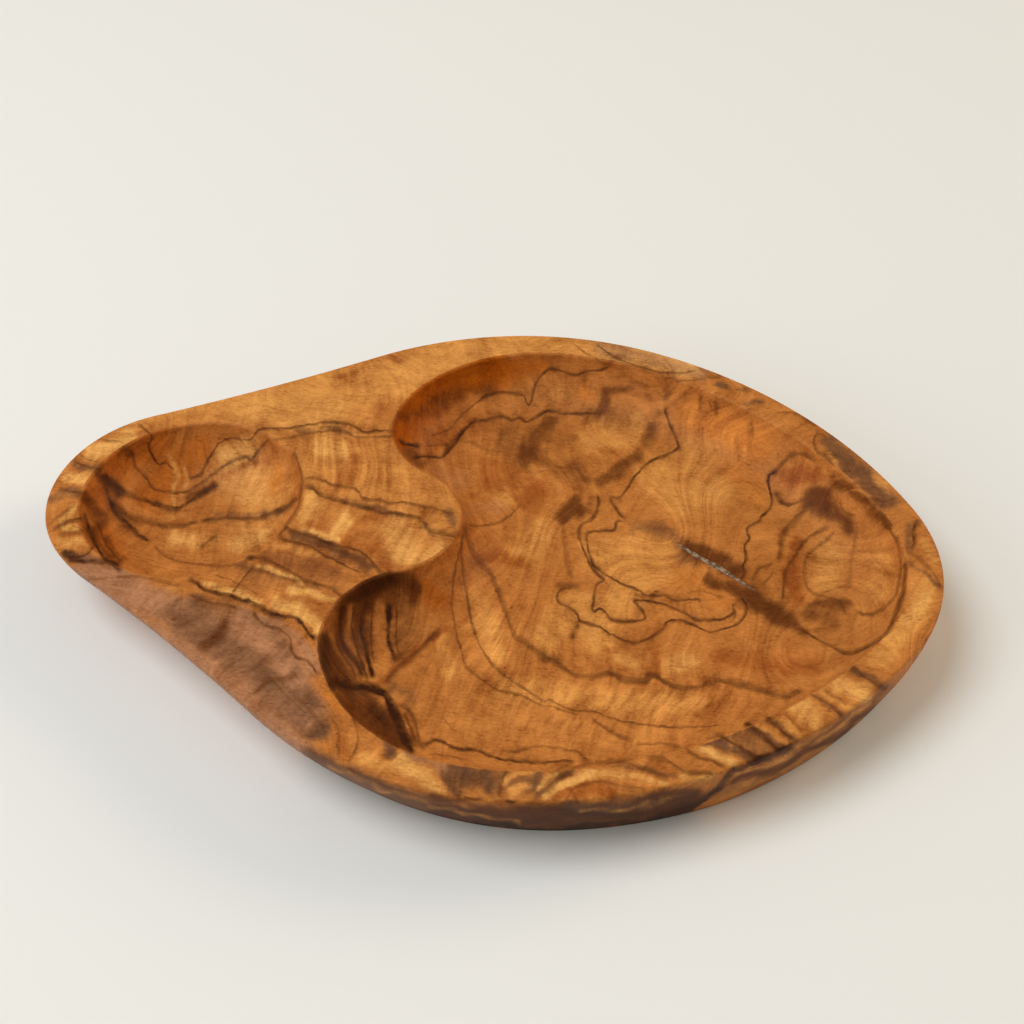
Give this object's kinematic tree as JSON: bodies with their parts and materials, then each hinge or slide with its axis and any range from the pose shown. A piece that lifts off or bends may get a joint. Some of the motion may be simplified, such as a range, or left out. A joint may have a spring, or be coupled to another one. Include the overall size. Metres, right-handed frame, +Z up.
{
  "type": "olive dish",
  "caption": "Carved wooden dish with a rounded nose, a wide heart-shaped well for olives and a small round well beside it for the pits.",
  "frame": {"origin": "middle of the bounding box at the height of the foot", "axes": "+X from the nose with the pit well to the tip of the olive well, +Y to the left of that, +Z up out of the wells"},
  "size_m": [0.24, 0.171, 0.022],
  "materials": {
    "olive_wood": "satin, oiled, with dark figured grain",
    "filler": "matt, grainy wood-dust filler"
  },
  "bodies": {
    "root": {"dish_body": "olive_wood", "crack_filler": "filler"}
  },
  "joints": []
}
